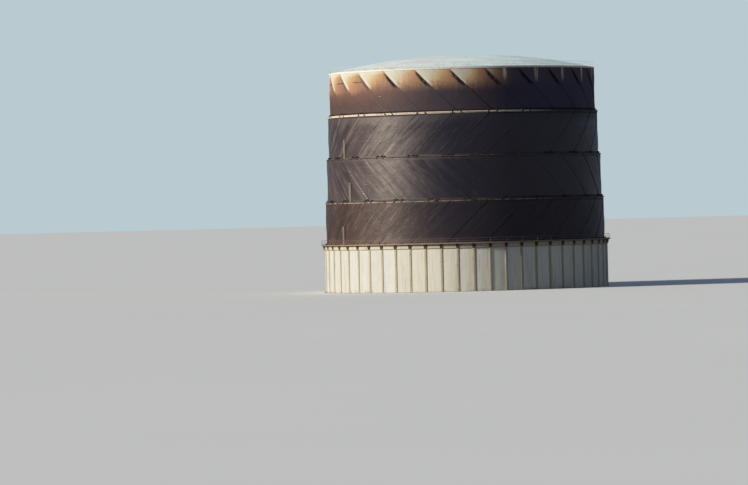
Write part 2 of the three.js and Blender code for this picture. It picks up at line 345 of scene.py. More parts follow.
def cloud(scale, detail=4.0, rough=0.55, place=None):
    inputs = {"Vector": place or spot.place, "Scale": scale, "Detail": detail, "Roughness": rough}
    return putNode("ShaderNodeTexNoise", inputs)


def stretched(scale, shift=(0, 0, 0), place=None):
    return putNode("ShaderNodeMapping", {"Vector": place or spot.place, "Scale": scale, "Location": shift})


def shades(value, stops):
    ramp = putNode("ShaderNodeValToRGB", {0: value})
    steps = ramp.socket.node.color_ramp.elements
    while len(steps) < len(stops):
        steps.new(0.5)
    for step, (place, colour) in zip(steps, stops):
        step.position = place
        step.color = (*colour, 1)
    return ramp


def rivetRows(radius, rowPitch, firstRow, spacing, head):
    # round heads in level rows, as a height from 0 to 1
    across = spot.angle * (radius / spacing)
    dx = (calc("FRACT", across) - 0.5) * spacing
    rows = (spot.height - firstRow) / rowPitch
    dz = (calc("FRACT", rows + 0.5) - 0.5) * rowPitch
    return fade(calc("SQRT", dx * dx + dz * dz), head, head * 0.4)


def lineAt(value, middle, halfWidth):
    return fade(calc("ABSOLUTE", value - middle), halfWidth, halfWidth * 0.3)


def sunward(low, high):
    # 1 on the side towards the sun lamp, 0 where the cosine to it is under low; it places painted light and
    # shade, and weathering that lies on that side
    return fade(calc("COSINE", spot.angle - math.radians(holder["sunSide"])), low, high)


def makeTankFinish():
    values = {
        "cream": (0.66, 0.635, 0.53),
        "chalk": (0.72, 0.70, 0.62),
        "grime": (0.40, 0.37, 0.28),
        "rust": (0.30, 0.16, 0.08),
        "sunny": (0.72, 0.74, 0.79),
    }
    newFinish("tankPaint")
    bays = spot.angle * (holder["stanchionCount"] / fullTurn)
    bayAngle = calc("ROUND", bays) * (fullTurn / holder["stanchionCount"])
    corner = putNode("ShaderNodeCombineXYZ", {0: calc("SINE", bayAngle), 1: calc("COSINE", bayAngle)})
    bayTone = cloud(37.0, 1.0, 0.5, place=corner)
    streaks = cloud(1.0, 5.0, 0.6, place=stretched((5.0, 5.0, 0.22)))
    blotches = cloud(0.9, 5.0)
    colour = mixed(fade(bayTone, 0.3, 0.7), values["cream"], values["chalk"])
    worn = fade(streaks, 0.46, 0.78) * fade(spot.height, 0.0, 5.2, 0.8, 0.45)
    colour = mixed(worn, colour, values["grime"])
    foot = fade(spot.height, 0.4, 0.0, 0.0, 0.6) * fade(blotches, 0.46, 0.7)
    colour = mixed(foot, colour, values["rust"])
    runs = fade(streaks, 0.58, 0.68) * fade(blotches, 0.54, 0.72)
    colour = mixed(runs * 0.4, colour, values["rust"])
    radius, pitch, first = holder["tankWall"], holder["coursePitch"], holder["firstCourse"]
    rivets = rivetRows(radius, pitch, first, spacing=0.055, head=0.011)
    colour = mixed(rivets * 0.25, colour, values["grime"])
    # painted shade: the side towards the sun is toned down and made cooler, so that it doesn't glare
    colour = mixed(sunward(0.48, 0.85), colour, values["sunny"], "MULTIPLY")
    dull = fade(blotches, 0.3, 0.7, 0.55, 0.8)
    return painted(colour, dull, (rivets, 0.006), (cloud(40.0), 0.0012), (cloud(1.1, 2.0), 0.02))


def makeStrakeFinish():
    values = {"buff": (0.46, 0.40, 0.29), "pale": (0.50, 0.46, 0.37), "grime": (0.34, 0.25, 0.15)}
    newFinish("strakePaint")
    streaks = cloud(1.0, 5.0, place=stretched((4.0, 4.0, 0.5)))
    blotches = cloud(1.6, 5.0)
    colour = mixed(fade(blotches, 0.35, 0.65), values["buff"], values["pale"])
    colour = mixed(fade(streaks, 0.55, 0.8), colour, values["grime"])
    rivets = rivetRows(holder["tankWall"], rowPitch=0.38, firstRow=4.68, spacing=0.05, head=0.010)
    return painted(colour, fade(blotches, 0.3, 0.7, 0.5, 0.75), (rivets, 0.006), (cloud(45.0), 0.001))


def makeStanchionFinish():
    values = {"buff": (0.36, 0.31, 0.21), "pale": (0.43, 0.38, 0.27), "rust": (0.22, 0.13, 0.07)}
    newFinish("stanchionPaint")
    streaks = cloud(1.0, 5.0, place=stretched((6.0, 6.0, 0.6)))
    colour = mixed(fade(streaks, 0.35, 0.65), values["buff"], values["pale"])
    spots = cloud(3.5, 6.0, 0.65)
    colour = mixed(fade(spots, 0.57, 0.70, 0.0, 0.8), colour, values["rust"])
    rivets = rivetRows(radius=15.6, rowPitch=0.12, firstRow=0.05, spacing=0.05, head=0.009)
    return painted(colour, fade(spots, 0.35, 0.65, 0.5, 0.85), (rivets, 0.004), (spots, 0.003))


def makeKneeFinish():
    # tarred castings under the walkway, rusty brown
    values = {"tar": (0.040, 0.024, 0.014), "rust": (0.095, 0.050, 0.026)}
    newFinish("kneeIron", Metallic=0.1)
    spots = cloud(3.0, 6.0, 0.6)
    colour = mixed(fade(spots, 0.4, 0.62), values["tar"], values["rust"])
    return painted(colour, fade(spots, 0.3, 0.7, 0.55, 0.85), (spots, 0.003), (cloud(50.0), 0.001))


def makeDeckFinish():
    # worn paint on chequer plate, with a joint at each bay
    values = {"worn": (0.29, 0.24, 0.17), "rust": (0.19, 0.135, 0.085), "dirt": (0.12, 0.09, 0.07)}
    newFinish("deckPaint", Metallic=0.1)
    spots = cloud(2.5, 6.0, 0.6)
    colour = mixed(fade(spots, 0.4, 0.62), values["worn"], values["rust"])
    fine = cloud(18.0, 4.0)
    colour = mixed(fade(fine, 0.55, 0.75), colour, values["dirt"])
    chequer = putNode("ShaderNodeTexChecker", {"Vector": spot.place, "Scale": 18.0}, 1)
    joints = lineAt(calc("FRACT", spot.angle * (holder["stanchionCount"] / fullTurn)), 0.5, 0.006)
    return painted(colour, fade(spots, 0.3, 0.7, 0.5, 0.8), (joints, -0.006), (chequer, 0.002), (fine, 0.001))


def makeRingFinish(name, cream, worn, share):
    # a lift's top ring: paint that is left in lengths, with dark and rusty lengths between
    values = {"rust": (0.12, 0.065, 0.04), "shade": (0.035, 0.030, 0.030), "rivetsDown": 0.046}
    newFinish(name)
    lengths = cloud(0.8, 3.0, place=stretched((1.0, 1.0, 0.2)))
    spots = cloud(5.0, 5.0, 0.6)
    colour = mixed(fade(lengths, share - 0.08, share + 0.08), cream, worn)
    colour = mixed(fade(spots, 0.52, 0.68, 0.0, 0.7), colour, values["rust"])
    colour = mixed(sunward(-0.5, 0.1), values["shade"], colour)
    pitch, first = lifts[3]["top"] - lifts[4]["top"], lifts[4]["top"] - values["rivetsDown"]
    heads = rivetRows(radius=15.1, rowPitch=pitch, firstRow=first, spacing=0.06, head=0.011)
    return painted(colour, fade(spots, 0.3, 0.7, 0.55, 0.85), (heads, 0.004), (cloud(30.0), 0.0015))


def bracketMarks(number, halfWidth):
    # 1 behind the end brackets of a lift's carriages, and 0 elsewhere
    lift = lifts[number]
    pitch = fullTurn / holder["railCount"]
    first = math.radians(railAngleAt(number, surroundTop(number)))
    turns = (spot.angle - first) / pitch
    nearest = calc("FRACT", turns + 0.5) - 0.5
    aside = calc("ABSOLUTE", nearest) * (pitch * lift["radius"])
    return lineAt(aside, lift["brackets"], halfWidth)


def makeLiftFinish(number, look):
    # glossy bitumen, brown and dusted on the sunny side and painted near black away from it as painted shade,
    # with a pale band under the ring;
    # marks holds the places where the gloss is gone
    lift = lifts[number]
    tint = (*look["tint"], 1)
    newFinish(f"lift{number}Paint", IOR=1.5, Specular_IOR_Level=look["shine"], Specular_Tint=tint)
    drop = lift["top"] - spot.height
    turned = spot.angle - drop * (lift["lean"] / lift["radius"])
    fromRail = turned - math.radians(lift["railAngle"])
    across = calc("FRACT", fromRail * (holder["railCount"] / fullTurn))  # 0 to 1 between rails
    straight = putNode("ShaderNodeCombineXYZ", {
        0: calc("SINE", turned) * lift["radius"],
        1: calc("COSINE", turned) * -lift["radius"],
        2: spot.height,
    })
    shift = (number * 7.0, 0, 0)
    slant = cloud(1.0, 5.0, 0.62, place=stretched((1.2, 1.2, 0.26), shift, place=straight))
    dashes = cloud(1.0, 3.0, 0.55, place=stretched((4.4, 4.4, 0.8), shift, place=straight))
    runs = cloud(1.0, 5.0, 0.6, place=stretched((3.5, 3.5, 0.3)))
    patches = cloud(0.35, 4.0, 0.6, place=stretched((1, 1, 1), (0, 0, number * 5.0)))
    speck = cloud(4.5, 6.0, 0.7)
    sunny = sunward(0.35, 0.95)
    colour = mixed(fade(patches, 0.3, 0.7), look["brown"], look["warm"])
    clean = fade(drop, 1.5, 0.4, 0.0, look["topClean"])
    bay = fade(across, 0.85, 0.15, 1 - look["bays"], 1.0) * (1.0 - clean)
    dusty = fade(slant, 0.40, 0.66, 0.0, look["dustShare"]) * bay
    colour = mixed(dusty, colour, look["dust"])
    colour = mixed(fade(runs, 0.6, 0.75, 0.0, 0.35), colour, look["rust"])
    # painted shade: away from the sun the paint is near black and bluish; brown, dust and rust runs show only
    # on the sunlit side
    colour = mixed(sunny, look["paintedShade"], colour)
    light = fade(dashes, 0.58, 0.70, 0.0, look["dashes"]) * fade(sunny, 0.0, 0.7, 0.08, 1.0) * bay
    colour = mixed(light, colour, look["fleck"])
    colour = mixed(fade(speck, 0.66, 0.76, 0.0, 0.5), colour, look["fleck"])
    marks = fade(dashes, 0.42, 0.32, 0.0, look["scuffs"])
    low = surroundTop(number)
    footHeight = spot.height - low
    rusty = fade(footHeight, 1.3, 0.1) * fade(patches, 0.44, 0.60) * sunward(0.70, 0.97)
    colour = mixed(rusty * look["footRust"], colour, look["rust"])
    settled = fade(footHeight, 1.0, 0.2, 0.0, look["footDust"]) * sunward(0.1, 0.7)
    colour = mixed(settled, colour, look["settled"])
    if number == 1:
        colour, wedge = bleached(colour, drop, across, runs, speck)
        marks = calc("MAXIMUM", marks, wedge)
    else:
        bandEdge = drop + runs * look["bandRag"]
        band = fade(bandEdge, look["bandDepth"] + 0.03, look["bandDepth"])
        lengths = cloud(1.1, 4.0, place=stretched((1, 1, 0.3)))
        kept = fade(lengths, look["bandWear"] + 0.07, look["bandWear"] - 0.07)
        # painted shade: the band fades out on the side away from the sun
        kept = kept * (1.0 - bracketMarks(number - 1, 0.10)) * sunward(-0.5, 0.1)
        colour = mixed(band * kept, colour, look["band"])
        # painted shadow: a dark line below the band
        under = lineAt(drop, look["bandDepth"] + 0.12, 0.12)
        marks = calc("MAXIMUM", marks, under * look["shadowUnderBand"])
    # each rail has a black strip on its left and a pale line on its right, broken into lengths and shown only
    # on the sunlit side: partly sheltered paint and dust, partly painted shadow and painted highlight of the
    # rail
    broken = fade(slant, 0.36, 0.56) * fade(sunny, 0.0, 0.35)
    shelterAndShadow = fade(across, 1 - look["shelter"], 1 - look["shelter"] * 0.4)
    shelterAndShadow = shelterAndShadow * broken * look["railDark"]
    marks = calc("MAXIMUM", marks, shelterAndShadow)
    # a near-black band at the foot of the wall, just above what the lift stands in
    footDark = fade(footHeight, 0.24, 0.10, 0.0, look["footDark"])
    marks = calc("MAXIMUM", marks, footDark)
    colour = mixed(marks, colour, look["black"])
    dustAndHighlight = fade(across, 0.055, 0.02) * fade(dashes, 0.40, 0.54, 0.1, look["railDustAndHighlight"]) * sunny
    colour = mixed(dustAndHighlight, colour, look["fleck"])
    # painted light: away from the sun the rails are given a lighter colour, which hides their own shading
    # against the wall
    railsLitInShade = fade(spot.away, lift["radius"] + 0.004, lift["radius"] + 0.010) * sunward(0.75, 0.35)
    colour = mixed(railsLitInShade, colour, look["rail"])
    pitch, first = holder["strakePitch"], low + holder["firstSeam"]
    rows = rivetRows(lift["radius"], pitch, first, spacing=0.045, head=0.009)
    dull = fade(slant, 0.3, 0.7, look["gloss"], look["gloss"] + 0.10) + clean * 0.3 + marks * 0.4
    buckle = cloud(0.9, 3.0, 0.5)
    return painted(colour, dull, (rows, 0.0022), (dashes, 0.003), (speck, 0.002), (buckle, 0.03))


def bleached(colour, drop, across, runs, speck):
    # the top of lift 1: a pale tooth hangs from the curb on the right of each rail and turns through orange
    # to the brown of the paint below; the side away from the sun keeps only a thin run at each tooth
    values = {
        "tip": 1.9, "curb": 0.10, "ragged": 0.36, "orangeFoot": 2.0, "brownFoot": 2.7, "pitch": 3.8,
        "upperBrown": (0.152, 0.069, 0.053), "lowerBrown": (0.066, 0.035, 0.033),
        "fleck": (0.16, 0.078, 0.060), "shade": (0.028, 0.018, 0.023), "run": (0.78, 0.60, 0.44),
        "tooth": (  # from the curb's cream to the brown at its tip
            (0.00, (0.56, 0.54, 0.47)),
            (0.25, (0.52, 0.48, 0.38)),
            (0.34, (0.50, 0.42, 0.28)),
            (0.44, (0.45, 0.30, 0.165)),
            (0.60, (0.33, 0.180, 0.105)),
            (1.00, (0.18, 0.090, 0.068)),
        ),
    }
    depth = (drop - values["curb"]) / values["tip"]
    fullSun = sunward(0.80, 0.97)
    rough = (runs - 0.5 + speck - 0.5) * values["ragged"]
    wash = fade(drop, 0.65, 0.15, 0.0, 0.35) * sunward(0.6, 0.95)
    crescent = fade(across, 0.13, 0.05) * fade(drop, 2.1, 1.7, 0.0, 0.75) * sunward(0.12, 0.30)
    # under 0 inside a tooth, growing below it
    beyond = depth + across + rough - 1.0 + fullSun * 0.10 + sunward(0.26, 0.05) * 0.65 - wash - crescent
    tooth = shades((beyond + 0.9) / 1.9, values["tooth"])
    lower = mixed(fade(drop, 2.3, 3.8), values["upperBrown"], values["lowerBrown"])
    lower = mixed(fade(speck, 0.46, 0.62, 0.0, 0.4), lower, values["fleck"])
    lower = mixed(sunward(0.42, 1.0), values["shade"], lower)
    reach = drop + rough * 2.6
    below = fade(reach, fade(fullSun, 0.0, 1.0, 1.1, values["orangeFoot"]), values["brownFoot"])
    tooth = mixed(below, tooth, mixed(0.75, colour, lower))
    share = fade(sunward(-0.20, 0.22), 0.0, 1.0, 0.12, 1.0)
    colour = mixed(share, colour, tooth)
    aside = calc("FRACT", across + drop / values["pitch"]) + rough * 0.2
    run = lineAt(aside, 0.62, 0.075) * fade(drop + rough * 3.0, 1.8, 0.6) * fade(runs, 0.36, 0.54, 0.2, 1.0)
    colour = mixed(run * sunward(0.30, 0.05) * 0.9, colour, values["run"])
    # black wedges beside the rails, and one dark seam across the sunniest teeth
    start = fade(drop, 0.2, 1.3, 0.91, 0.83)
    wedge = fade(across - start, 0.0, 0.08) * fade(drop, 0.2, 0.6) * fade(drop, 2.2, 1.7)
    wedge = wedge * fade(fullSun, 0.0, 1.0, 1.0, 0.3) * fade(rough, -0.06, 0.02, 0.72, 1.0)
    seam = lineAt(drop, 1.22, 0.09) * fade(across, 0.40, 0.55) * fullSun * 0.65
    return colour, calc("MAXIMUM", wedge, seam)


def makeCarriageFinish():
    values = {"iron": (0.022, 0.018, 0.018), "rust": (0.10, 0.045, 0.025)}
    newFinish("carriageIron", Metallic=0.4)
    spots = cloud(7.0, 6.0, 0.6)
    colour = mixed(fade(spots, 0.42, 0.66), values["iron"], values["rust"])
    return painted(colour, fade(spots, 0.3, 0.7, 0.42, 0.75), (cloud(60.0), 0.001), (spots, 0.002))


def makeCrownFinish():
    # thin plates in rings and radial strips, pale and weathered
    values = {
        "pale": (0.69, 0.80, 0.79),
        "chalk": (0.76, 0.87, 0.86),
        "dirt": (0.42, 0.44, 0.39),
        "rust": (0.34, 0.22, 0.12),
        "sunny": (0.96, 0.90, 0.88),
        "plateWidth": 1.45,
        "strips": 48,
    }
    newFinish("crownPaint")
    patches = cloud(0.45, 5.0, 0.6)
    spots = cloud(2.6, 6.0, 0.62)
    colour = mixed(fade(patches, 0.35, 0.65), values["pale"], values["chalk"])
    colour = mixed(fade(spots, 0.55, 0.75, 0.0, 0.6), colour, values["dirt"])
    ringSeams = lineAt(calc("FRACT", spot.away / values["plateWidth"]), 0.5, 0.010)
    strips = calc("FRACT", spot.angle * (values["strips"] / fullTurn))
    radialSeams = lineAt(strips, 0.5, 0.012) * fade(spot.away, 1.6, 2.2)
    seams = calc("MAXIMUM", ringSeams, radialSeams)
    colour = mixed(seams * 0.7, colour, values["dirt"])
    stain = fade(spots, 0.5, 0.7) * fade(spot.away, 12.4, 14.3)
    colour = mixed(stain * 0.5, colour, values["rust"])
    # painted shade: the side towards the sun is toned down and made warmer
    colour = mixed(sunward(0.0, 0.8), colour, values["sunny"], "MULTIPLY")
    dull = fade(patches, 0.3, 0.7, 0.6, 0.85)
    return painted(colour, dull, (seams, 0.006), (spots, 0.003), (patches, 0.05))


def makeCurbFinish():
    values = {"cream": (0.70, 0.66, 0.58), "rust": (0.42, 0.29, 0.17)}
    newFinish("curbPaint")
    spots = cloud(3.0, 6.0, 0.6)
    colour = mixed(fade(spots, 0.55, 0.78), values["cream"], values["rust"])
    first = lifts[1]["top"] - holder["crownCurb"] / 2
    heads = rivetRows(radius=14.56, rowPitch=0.075, firstRow=first, spacing=0.06, head=0.011)
    return painted(colour, fade(spots, 0.3, 0.7, 0.55, 0.8), (heads, 0.006), (cloud(30.0), 0.0015))


def makeRailingFinish(name, pale, worn, rust):
    newFinish(name)
    spots = cloud(6.0, 6.0, 0.62)
    colour = mixed(fade(spots, 0.5, 0.56), pale, worn)
    colour = mixed(fade(spots, 0.62, 0.68), colour, rust)
    return painted(colour, fade(spots, 0.3, 0.7, 0.45, 0.8), (cloud(80.0), 0.0008))


def makeWetSteelFinish():
    # cups, foot curb and floor plate: rust in spots, slime in runs
    values = {"steel": (0.09, 0.075, 0.065), "rust": (0.16, 0.075, 0.035), "slime": (0.06, 0.07, 0.04)}
    newFinish("wetSteel", Metallic=0.3)
    spots = cloud(2.2, 6.0, 0.62)
    runs = cloud(1.0, 5.0, place=stretched((5, 5, 0.6)))
    colour = mixed(fade(spots, 0.4, 0.65), values["steel"], values["rust"])
    colour = mixed(fade(runs, 0.5, 0.75, 0.0, 0.7), colour, values["slime"])
    return painted(colour, fade(spots, 0.3, 0.7, 0.35, 0.7), (spots, 0.006), (cloud(40.0), 0.0015))


def makeWaterFinish():
    values = {"clear": (0.018, 0.024, 0.018), "scum": (0.06, 0.06, 0.03)}
    newFinish("tankWater", IOR=1.333)
    scum = cloud(1.4, 5.0, 0.6)
    colour = mixed(fade(scum, 0.45, 0.75), values["clear"], values["scum"])
    return painted(colour, fade(scum, 0.5, 0.75, 0.05, 0.3), (cloud(6.0, 2.0), 0.002))


finishes = {
    "tank": makeTankFinish(),
    "strake": makeStrakeFinish(),
    "stanchion": makeStanchionFinish(),
    "deck": makeDeckFinish(),
    "knee": makeKneeFinish(),
    "paleRing": makeRingFinish("paleRingPaint", (0.74, 0.64, 0.50), (0.34, 0.24, 0.17), 0.64),
    "wornRing": makeRingFinish("wornRingPaint", (0.13, 0.085, 0.065), (0.034, 0.025, 0.025), 0.46),
    "carriage": makeCarriageFinish(),
    "crown": makeCrownFinish(),
    "curb": makeCurbFinish(),
    "wetSteel": makeWetSteelFinish(),
    "water": makeWaterFinish(),
}
railingPaints = {  # sound, worn and rusty
    "ladder": ((0.47, 0.41, 0.35), (0.38, 0.31, 0.25), (0.24, 0.14, 0.09)),
    "toe": ((0.25, 0.20, 0.145), (0.20, 0.15, 0.105), (0.16, 0.09, 0.055)),
    "brownRailing": ((0.24, 0.18, 0.13), (0.17, 0.12, 0.09), (0.13, 0.065, 0.04)),
    "paleRailing": ((0.66, 0.68, 0.66), (0.56, 0.56, 0.52), (0.36, 0.26, 0.18)),
}
finishes.update({name: makeRailingFinish(f"{name}Paint", *paints) for name, paints in railingPaints.items()})
# What the four lifts share. Colours: the near-black one is painted shade on the side away from the sun, brown
# and warm are its sunlit side, dust, fleck and rust lie on it, settled is dust at its foot, black marks
# sheltered and scuffed places, the dark foot band and a painted shadow under the band, rail is painted light
# on the rails in shade, and band is what is left under the ring
bitumen = {
    "paintedShade": (0.0065, 0.0050, 0.0165), "brown": (0.030, 0.018, 0.021), "warm": (0.052, 0.032, 0.034),
    "dust": (0.115, 0.089, 0.073), "fleck": (0.26, 0.235, 0.20), "rust": (0.15, 0.062, 0.042),
    "settled": (0.105, 0.058, 0.046), "black": (0.010, 0.0075, 0.007), "rail": (0.019, 0.016, 0.023),
    "tint": (1.0, 0.90, 0.86), "shine": 0.9, "gloss": 0.31, "dustShare": 0.45, "bays": 0.3, "topClean": 0.0,
    "dashes": 0.35, "scuffs": 0.5, "footRust": 0.2, "footDust": 0.0, "footDark": 0.85,
    "shelter": 0.035, "railDark": 0.5, "railDustAndHighlight": 0.3,
    "band": (0.16, 0.115, 0.10), "bandDepth": 0.15, "bandWear": 0.42, "bandRag": 0.06, "shadowUnderBand": 0.5,
}
liftLooks = {
    1: {
        **bitumen, "paintedShade": (0.050, 0.044, 0.080), "shine": 0.35, "gloss": 0.64, "bays": 0.0, "dashes": 0.1,
        "scuffs": 0.15, "shelter": 0.02, "railDark": 0.1, "railDustAndHighlight": 0.15,
    },
    2: {
        **bitumen, "dust": (0.135, 0.115, 0.091), "dustShare": 0.7, "bays": 0.85, "topClean": 0.6,
        "footDark": 0.5, "shelter": 0.05, "railDark": 0.9, "railDustAndHighlight": 0.7,
        "band": (0.72, 0.62, 0.50), "bandDepth": 0.17, "bandWear": 0.80, "bandRag": 0.02, "shadowUnderBand": 0.85,
    },
    3: {**bitumen, "bays": 0.15},
    4: {
        **bitumen, "paintedShade": (0.0150, 0.0120, 0.0210), "brown": (0.032, 0.017, 0.014),
        "warm": (0.050, 0.026, 0.022), "dust": (0.086, 0.060, 0.048), "rust": (0.125, 0.050, 0.032),
        "tint": (1.0, 0.88, 0.82), "shine": 0.55, "gloss": 0.34, "dustShare": 0.35, "dashes": 0.5,
        "scuffs": 0.8, "footRust": 0.8, "footDust": 0.5, "footDark": 0.45, "railDark": 0.6,
        "band": (0.42, 0.31, 0.25), "bandDepth": 0.20, "bandWear": 0.58, "bandRag": 0.08,
    },
}
liftFinishes = {number: makeLiftFinish(number, look) for number, look in liftLooks.items()}
print("finishes made")


def makeTankShell():
    # plates in five courses, each a little inside the one below
    values = {"seams": 4, "lap": 0.003}
    outer = holder["tankWall"]
    section = [(holder["tankWallInside"], holder["tankFoot"])]
    seams = [holder["firstCourse"] + n * holder["coursePitch"] for n in range(values["seams"])]
    heights = [holder["tankFoot"], *seams, holder["underWalkway"]]
    for index, (low, high) in enumerate(zip(heights, heights[1:])):
        radius = outer - values["lap"] * index
        section += [(radius, low), (radius, high)]
    section.append((holder["tankWallInside"], holder["underWalkway"]))
    shell = turnedRing("tank_shell", section, holder["tankSteps"])
    finishPiece(shell, "tank", "tank_paint", finishes["tank"], *quartersOf("tank_wall"))


def makeTopStrake():
    # a buff strake that stands proud round the top of the wall, with an angle under it
    values = {"high": 5.09, "proud": 0.09, "sunk": 0.008,
              "angleLow": 4.60, "angleThick": 0.020, "angleReach": 0.060, "angleLeg": 0.012, "gap": 0.0003}
    low, high, angleLow = holder["strakeFoot"], values["high"], values["angleLow"]
    wall, face = holder["tankWall"] - values["sunk"], holder["tankWall"] + values["proud"]
    section = [(wall, low), (face, low), (face, high), (wall, high)]
    strake = turnedRing("tank_strake", section, holder["tankSteps"])
    finishPiece(strake, "tank", "tank_paint", finishes["strake"])
    back, edge = wall + values["angleThick"], wall + values["angleReach"]
    under, top = low - values["angleLeg"], low - values["gap"]
    angle = turnedRing("tank_strake_angle", [
        (wall, angleLow), (back, angleLow), (back, under), (edge, under), (edge, top), (wall, top),
    ], holder["tankSteps"])
    finishPiece(angle, "tank", "tank_paint", finishes["stanchion"])


def makeStanchions():
    # an upright pressed section with riveted feet, on a foot plate, with a cast knee at its head
    values = {
        "half": 0.120, "proud": 0.050, "shoulder": 0.022, "chamfer": 0.030, "sunk": 0.015, "intoKnee": 0.02,
        "feet": 0.150, "feetThick": 0.007, "plateHalf": 0.16, "plateReach": 0.12, "plateThick": 0.02,
        "gusset": ((0.09, 0.05), (0.15, 0.05), (0.09, 0.22)), "gussetReach": 0.040, "gussetThick": 0.012,
        "bolt": 0.011, "boltLength": 0.016, "boltAside": 0.13, "boltReach": 0.10, "boltHeight": 0.058,
        "bevel": 0.004, "boltBevel": 0.002,
    }
    half, feet, foot, wall = values["half"], values["feet"], holder["tankFoot"], holder["tankWall"]
    feetFace = -wall - values["feetThick"]
    plan = mirrored([(feet, values["sunk"] - wall), (feet, feetFace), (half, feetFace),
                     (half, -wall - values["shoulder"]), (half - values["chamfer"], -wall - values["proud"])])
    parts = [raisedPlan("stanchion", plan, [foot, holder["strakeFoot"] + values["intoKnee"]])]
    low = (-values["plateHalf"], -wall - values["plateReach"], foot)
    high = (values["plateHalf"], -wall, foot + values["plateThick"])
    parts.append(block("footPlate", low, high, values["bevel"]))
    for side in (-1, 1):
        outside = -wall - values["gussetReach"]
        gusset = drawOutline("gusset", [(side * x, outside, z) for x, z in values["gusset"]])
        push(0, values["gussetThick"], 0)
        parts.append(closeUp(gusset))
        place = (side * values["boltAside"], -wall - values["boltReach"], values["boltHeight"])
        bolt = rod(6, values["bolt"], values["boltLength"], place)
        softenEdges(bolt, values["boltBevel"])
        parts.append(bolt)
    pitch = 360 / holder["stanchionCount"]
    angles = [(n + 0.5) * pitch for n in range(holder["stanchionCount"])]
    ring = copyRound("tank_stanchions", joinAs("stanchion", parts), angles)
    finishPiece(ring, "tank", "tank_paint", finishes["stanchion"])
    knees = copyRound("tank_knees", makeKnee(), angles)
    finishPiece(knees, "tank", "tank_paint", finishes["knee"])


def makeKnee():
    # a hollow-faced block that widens upwards and reaches out under the walkway
    values = {"footHalf": 0.13, "topHalf": 0.18, "near": 0.045, "reach": 0.125, "topOut": 0.09,
              "rim": 0.03, "hollow": 0.018, "gap": 0.0005, "slack": 0.001, "bevel": 0.004}
    wall, slack = holder["tankWall"], values["slack"]
    top, front = holder["underWalkway"] - values["gap"], wall + values["reach"]
    outline = mirrored([(values["footHalf"], holder["strakeFoot"]), (values["topHalf"], top)])
    knee = frontPlate("knee", outline, wall + values["near"], front)
    bpy.ops.object.mode_set(mode="EDIT")
    pickCorners(knee, lambda co: co.z > top - slack and co.y < -front + slack)
    bpy.ops.transform.translate(value=(0, -values["topOut"], 0))
    pickFaces(knee, lambda centre, normal: normal.y < -0.5)
    bpy.ops.mesh.inset(thickness=values["rim"])
    push(0, values["hollow"], 0)
    closeUp(knee, smoothAngle=30)
    softenEdges(knee, values["bevel"])
    return knee


def makeWalkway():
    # a deck plate between an inner and an outer leg
    values = {"inner": 15.335, "low": 5.10, "deck": 0.012, "leg": 0.02}
    inner, edge, low, leg = values["inner"], holder["walkwayEdge"], values["low"], values["leg"]
    top = holder["walkwayTop"]
    under = top - values["deck"]
    deck = turnedRing("tank_walkway", [
        (inner, low), (inner + leg, low), (inner + leg, under), (edge - leg, under),
        (edge - leg, low), (edge, low), (edge, top), (inner, top),
    ], holder["tankSteps"])
    finishPiece(deck, "tank", "ring_paint", finishes["deck"], *quartersOf("tank_walkway"))


def makeRailing(name, body, edge, base, postCount, toeHeight, finish):
    # round posts with a foot and a ball at each rail, a top rail, a middle rail and a toe plate
    values = {
        "inset": 0.045, "post": 0.008, "postTop": 0.538, "footHalf": 0.028, "footTop": 0.010, "gap": 0.0005,
        "levels": (0.535, 0.275), "ball": 0.014, "ballTall": 1.1, "rail": 0.008, "railSides": 8, "steps": 224,
        "toeInset": 0.014, "toeThick": 0.006, "toeLow": 0.012, "lip": 0.010, "lipThick": 0.008,
        "smoothAngle": 50,
    }
    half, rail, sides = values["footHalf"], values["rail"], values["railSides"]
    middle = edge - values["inset"]
    low = base + values["gap"]
    parts = [rod(8, values["post"], values["postTop"], (0, -middle, low + values["postTop"] / 2))]
    high = base + values["footTop"]
    parts.append(block("postFoot", (-half, -middle - half, low), (half, -middle + half, high)))
    for level in values["levels"]:
        clearPick()
        place = (0, -middle, base + level)
        bpy.ops.mesh.primitive_ico_sphere_add(subdivisions=1, radius=values["ball"], location=place)
        ball = bpy.context.object
        ball.scale.z = values["ballTall"]
        settle()
        parts.append(ball)
    whole = joinAs("post", parts)
    bpy.ops.object.shade_smooth_by_angle(angle=math.radians(values["smoothAngle"]))
    posts = copyRound(f"{name}_posts", whole, [(n + 0.5) * 360 / postCount for n in range(postCount)])
    finishPiece(posts, body, "railing_paint", finish)
    bars = []
    for level in values["levels"]:
        turns = [fullTurn * n / sides for n in range(sides)]
        section = [(middle + rail * math.cos(turn), base + level + rail * math.sin(turn)) for turn in turns]
        bars.append(turnedRing("bar", section, values["steps"]))
    finishPiece(joinAs(f"{name}_rails", bars), body, "railing_paint", finish, *quartersOf(name))
    inner = middle + values["toeInset"]
    outer = inner + values["toeThick"]
    bottom, top = base + values["toeLow"], base + toeHeight
    under, reach = top - values["lipThick"], outer + values["lip"]
    section = [(inner, bottom), (outer, bottom), (outer, under), (reach, under), (reach, top), (inner, top)]
    toe = turnedRing(f"{name}_toe", section, values["steps"])
    finishPiece(toe, body, "railing_paint", finishes["toe"] if body == "tank" else finish)


def makeWater():
    # still water between the tank's wall and the outermost lift, just under the rim
    values = {"level": 4.93, "offLift": 0.065, "offTank": 0.005, "depth": 0.004}
    inner, outer = lifts[4]["radius"] + values["offLift"], holder["tankWallInside"] - values["offTank"]
    level, low = values["level"], values["level"] - values["depth"]
    section = [(inner, low), (outer, low), (outer, level), (inner, level)]
    water = turnedRing("tank_water", section, holder["tankSteps"] // 2)
    finishPiece(water, "tank", "tank_paint", finishes["water"])


